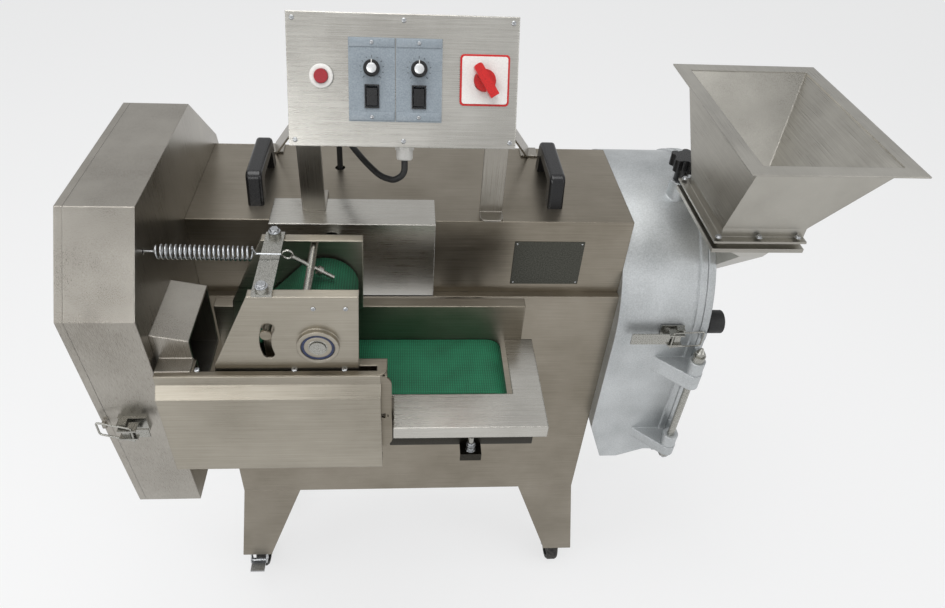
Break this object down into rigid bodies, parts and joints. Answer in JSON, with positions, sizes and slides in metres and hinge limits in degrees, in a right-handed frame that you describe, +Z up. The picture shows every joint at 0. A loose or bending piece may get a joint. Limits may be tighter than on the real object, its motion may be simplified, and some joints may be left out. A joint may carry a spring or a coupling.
{
  "type": "vegetable cutting machine",
  "caption": "Two-headed vegetable cutting machine: belt-fed leaf cutting head on the left, hopper-fed slicing head on the right, on a stainless cabinet with casters.",
  "frame": {"origin": "On the floor, under the middle of the whole machine", "axes": "+X along the machine from the leaf head to the hopper, +Y to the back, +Z up"},
  "size_m": [1.0708, 0.658, 1.2614],
  "materials": {
    "stainless": "brushed",
    "steel": "machined",
    "cast": "satin cast",
    "zinc": "bright zinc",
    "belt": "woven green belt",
    "black_rubber": "matte",
    "black_plastic": "satin",
    "module_plastic": "satin",
    "red_plastic": "gloss",
    "motor_paint": "satin paint",
    "tyre": "matte"
  },
  "bodies": {
    "machine": {"cabinet_shell": "stainless", "cabinet_panels": "stainless", "leg_frames": "stainless", "caster_mounts": "zinc", "leaf_housing": "stainless", "spindle_housings": "cast", "mouth_box": "stainless", "conveyor_frame": "stainless", "feed_table": "stainless", "trough_cover": "stainless", "lower_belt": "belt", "drive_belts": "black_rubber", "conveyor_motor": "motor_paint", "drive_motors": "motor_paint", "drive_cover": "stainless", "slicing_casing": "cast", "hinge_pin": "steel", "latch_bases": "steel", "control_box": "stainless", "control_panel": "stainless", "cable_glands": "black_plastic", "control_cable": "black_rubber", "box_brackets": "stainless", "panel_fittings": "module_plastic", "carry_handles": "black_plastic", "tension_spring": "zinc"},
    "leaf_lid_body": {"leaf_lid": "stainless"},
    "idle_roller_body": {"idle_roller": "steel"},
    "drive_roller_body": {"drive_roller": "steel"},
    "press_drum_body": {"press_drum": "steel"},
    "nose_roller_body": {"nose_roller": "steel"},
    "transfer_gear_body": {"transfer_gear": "steel"},
    "star_knob_body": {"star_knob": "black_plastic"},
    "casing_latch_lever_body": {"casing_latch_lever": "steel"},
    "casing_latch_bail_body": {"casing_latch_bail": "steel"},
    "lid_latch_lever_body": {"lid_latch_lever": "steel"},
    "lid_latch_bail_body": {"lid_latch_bail": "steel"},
    "speed_knob_left_body": {"speed_knob_left": "black_plastic"},
    "speed_knob_right_body": {"speed_knob_right": "black_plastic"},
    "rocker_switch_left_body": {"rocker_switch_left": "black_plastic"},
    "rocker_switch_right_body": {"rocker_switch_right": "black_plastic"},
    "selector_lever_body": {"selector_lever": "red_plastic"},
    "stop_button_body": {"stop_button": "red_plastic"},
    "caster_fork_front_left_body": {"caster_fork_front_left": "zinc"},
    "caster_fork_front_right_body": {"caster_fork_front_right": "zinc"},
    "caster_wheel_front_left_body": {"caster_wheel_front_left": "tyre"},
    "caster_wheel_front_right_body": {"caster_wheel_front_right": "tyre"},
    "caster_wheel_rear_left_body": {"caster_wheel_rear_left": "tyre"},
    "caster_wheel_rear_right_body": {"caster_wheel_rear_right": "tyre"},
    "brake_pedal_body": {"brake_pedal": "zinc"},
    "leaf_rotor": {"leaf_shaft": "steel", "leaf_knives": "steel"},
    "press_unit": {"press_plates": "stainless", "press_yoke": "steel", "upper_belt": "belt"},
    "casing_door": {"casing_cover": "cast", "hopper": "stainless", "feed_chute": "stainless"},
    "slicing_rotor": {"slicing_disc": "cast", "slicing_shaft": "steel"}
  },
  "joints": [
    {"name": "lid_hinge", "type": "hinge", "parent": "machine", "child": "leaf_lid_body", "pos_m": [-0.5215, 0.224, 0.845], "axis": [0, 0, -1], "range_deg": [0, 110]},
    {"name": "leaf_spindle", "type": "hinge", "parent": "machine", "child": "leaf_rotor", "pos_m": [-0.4995, -0.027, 0.845], "axis": [1, 0, 0], "continuous": true},
    {"name": "slicing_spindle", "type": "hinge", "parent": "machine", "child": "slicing_rotor", "pos_m": [0.2605, 0.115, 0.77], "axis": [1, 0, 0], "continuous": true},
    {"name": "drum_shaft", "type": "hinge", "parent": "machine", "child": "press_drum_body", "pos_m": [-0.2295, -0.217, 0.954], "axis": [0, 1, 0], "continuous": true},
    {"name": "transfer_shaft", "type": "hinge", "parent": "machine", "child": "transfer_gear_body", "pos_m": [-0.18559, -0.043, 0.92257], "axis": [0, 1, 0], "continuous": true},
    {"name": "drive_roller_shaft", "type": "hinge", "parent": "machine", "child": "drive_roller_body", "pos_m": [-0.0025, -0.217, 0.8165], "axis": [0, 1, 0], "continuous": true},
    {"name": "idle_roller_shaft", "type": "hinge", "parent": "machine", "child": "idle_roller_body", "pos_m": [-0.3645, -0.217, 0.8165], "axis": [0, 1, 0], "continuous": true},
    {"name": "nose_roller_shaft", "type": "hinge", "parent": "press_unit", "child": "nose_roller_body", "pos_m": [-0.3515, -0.217, 0.872], "axis": [0, 1, 0], "continuous": true},
    {"name": "press_lift", "type": "hinge", "parent": "machine", "child": "press_unit", "pos_m": [-0.2295, -0.217, 0.954], "axis": [0, 1, 0], "range_deg": [0, 28], "deforming": ["tension_spring"]},
    {"name": "cover_hinge", "type": "hinge", "parent": "machine", "child": "casing_door", "pos_m": [0.3535, -0.13, 0.64], "axis": [0, 0, -1], "range_deg": [0, 110]},
    {"name": "star_knob_thread", "type": "hinge", "parent": "machine", "child": "star_knob_body", "pos_m": [0.3175, 0.046, 1], "axis": [0, 0, 1], "continuous": true},
    {"name": "casing_latch_pivot", "type": "hinge", "parent": "machine", "child": "casing_latch_lever_body", "pos_m": [0.3225, -0.104, 0.791], "axis": [0, 0, 1], "range_deg": [0, 105]},
    {"name": "casing_bail_pivot", "type": "hinge", "parent": "casing_latch_lever_body", "child": "casing_latch_bail_body", "pos_m": [0.3085, -0.114, 0.791], "axis": [0, 0, 1], "range_deg": [-105, 0]},
    {"name": "lid_latch_pivot", "type": "hinge", "parent": "machine", "child": "lid_latch_lever_body", "pos_m": [-0.4995, -0.289, 0.797], "axis": [0, 0, -1], "range_deg": [0, 105]},
    {"name": "lid_bail_pivot", "type": "hinge", "parent": "lid_latch_lever_body", "child": "lid_latch_bail_body", "pos_m": [-0.4855, -0.299, 0.797], "axis": [0, 0, -1], "range_deg": [-105, 0]},
    {"name": "speed_knob_left_shaft", "type": "hinge", "parent": "machine", "child": "speed_knob_left_body", "pos_m": [-0.1667, -0.03146, 1.20031], "axis": [0, -0.8973, 0.4415], "range_deg": [0, 270]},
    {"name": "speed_knob_right_shaft", "type": "hinge", "parent": "machine", "child": "speed_knob_right_body", "pos_m": [-0.1057, -0.03146, 1.20031], "axis": [0, -0.8973, 0.4415], "range_deg": [0, 270]},
    {"name": "rocker_left_pivot", "type": "hinge", "parent": "machine", "child": "rocker_switch_left_body", "pos_m": [-0.1667, -0.0505, 1.17067], "axis": [1, 0, 0], "range_deg": [-16, 0]},
    {"name": "rocker_right_pivot", "type": "hinge", "parent": "machine", "child": "rocker_switch_right_body", "pos_m": [-0.1057, -0.0505, 1.17067], "axis": [1, 0, 0], "range_deg": [-16, 0]},
    {"name": "selector_shaft", "type": "hinge", "parent": "machine", "child": "selector_lever_body", "pos_m": [-0.0198, -0.03676, 1.18954], "axis": [0, -0.8973, 0.4415], "range_deg": [0, 90]},
    {"name": "stop_button_travel", "type": "slide", "parent": "machine", "child": "stop_button_body", "axis": [0, 0.8973, -0.4415], "range_m": [0, 0.004], "stiffness_N_per_m": 500, "springref_m": -0.002},
    {"name": "swivel_front_left", "type": "hinge", "parent": "machine", "child": "caster_fork_front_left_body", "pos_m": [-0.4425, -0.044, 0.09], "axis": [0, 0, 1], "continuous": true},
    {"name": "swivel_front_right", "type": "hinge", "parent": "machine", "child": "caster_fork_front_right_body", "pos_m": [0.2235, -0.044, 0.09], "axis": [0, 0, 1], "continuous": true},
    {"name": "wheel_axle_front_left", "type": "hinge", "parent": "caster_fork_front_left_body", "child": "caster_wheel_front_left_body", "pos_m": [-0.4425, -0.02, 0.0375], "axis": [1, 0, 0], "continuous": true},
    {"name": "wheel_axle_front_right", "type": "hinge", "parent": "caster_fork_front_right_body", "child": "caster_wheel_front_right_body", "pos_m": [0.2235, -0.02, 0.0375], "axis": [1, 0, 0], "continuous": true},
    {"name": "wheel_axle_rear_left", "type": "hinge", "parent": "machine", "child": "caster_wheel_rear_left_body", "pos_m": [-0.4425, 0.162, 0.0375], "axis": [1, 0, 0], "continuous": true},
    {"name": "wheel_axle_rear_right", "type": "hinge", "parent": "machine", "child": "caster_wheel_rear_right_body", "pos_m": [0.2235, 0.162, 0.0375], "axis": [1, 0, 0], "continuous": true},
    {"name": "brake_pivot", "type": "hinge", "parent": "caster_fork_front_left_body", "child": "brake_pedal_body", "pos_m": [-0.4425, -0.068, 0.073], "axis": [1, 0, 0], "range_deg": [0, 20]}
  ],
  "couplings": [
    {"joint": "transfer_shaft", "follows": "drum_shaft", "ratio": -0.5},
    {"joint": "drive_roller_shaft", "follows": "drum_shaft", "ratio": -1.7755},
    {"joint": "idle_roller_shaft", "follows": "drum_shaft", "ratio": -1.7755},
    {"joint": "nose_roller_shaft", "follows": "drum_shaft", "ratio": 3.48},
    {"joint": "casing_bail_pivot", "follows": "casing_latch_pivot", "ratio": -1},
    {"joint": "lid_bail_pivot", "follows": "lid_latch_pivot", "ratio": -1}
  ]
}
